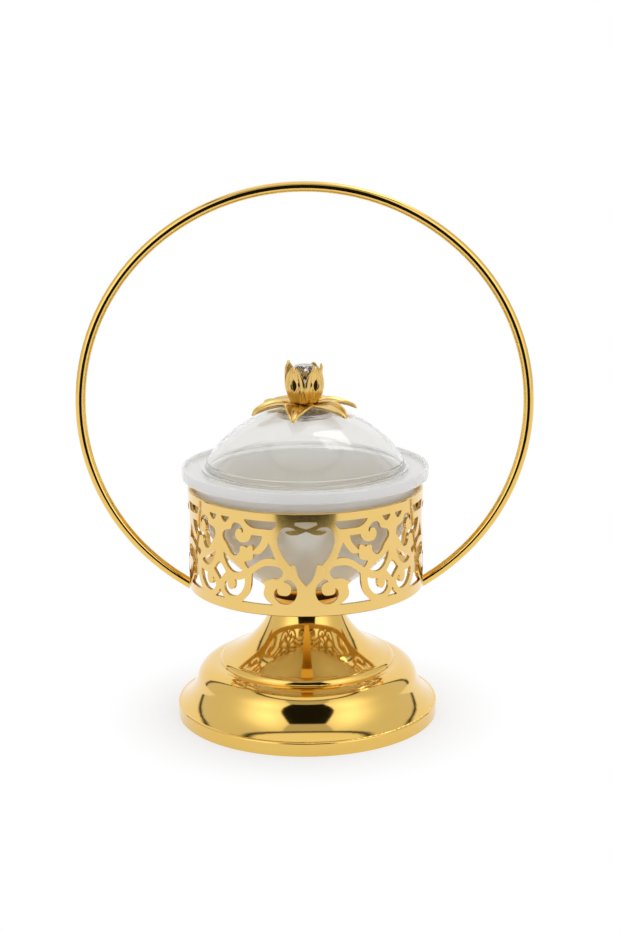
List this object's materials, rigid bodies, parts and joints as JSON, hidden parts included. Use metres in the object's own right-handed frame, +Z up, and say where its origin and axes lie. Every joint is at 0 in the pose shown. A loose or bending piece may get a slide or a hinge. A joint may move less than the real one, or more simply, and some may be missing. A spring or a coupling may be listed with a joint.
{
  "type": "covered candy bowl",
  "caption": "Round covered candy bowl in a pierced scroll band on a flared foot, with a tall hoop handle and a lift-off clear dome lid topped by a tulip finial.",
  "frame": {"origin": "on the table, under the middle of the foot", "axes": "+Z up, X along the plane of the hoop handle, a heart of the band faces the front, -Y"},
  "size_m": [0.2212, 0.1288, 0.2617],
  "materials": {
    "gilt_polished": "mirror-polished gold plate",
    "gilt_satin": "bright satin gold plate",
    "gilt_cast": "cast, antiqued gold plate",
    "steel_fastener": "zinc-plated steel",
    "milky_acrylic": "glossy milky acrylic",
    "clear_acrylic": "glossy clear acrylic",
    "cut_glass": "faceted, foil-backed glass"
  },
  "bodies": {
    "stand": {"foot_shell": "gilt_polished", "stem_screw": "steel_fastener", "stem_washer": "steel_fastener", "stem_nut": "steel_fastener", "seat_cup": "gilt_satin", "bottom_strap": "gilt_satin", "pierced_band": "gilt_satin", "hoop_handle": "gilt_polished"},
    "bowl": {"bowl": "milky_acrylic"},
    "lid": {"lid_dome": "clear_acrylic", "lid_washer": "clear_acrylic", "finial_screw": "steel_fastener", "leaf_collar": "gilt_cast", "petal_cup": "gilt_cast", "crystal": "cut_glass"}
  },
  "joints": [
    {"name": "bowl_lift", "type": "slide", "parent": "stand", "child": "bowl", "axis": [0, 0, 1], "range_m": [0, 0.047]},
    {"name": "lid_lift", "type": "slide", "parent": "bowl", "child": "lid", "axis": [0, 0, 1], "range_m": [0, 0.028]}
  ]
}
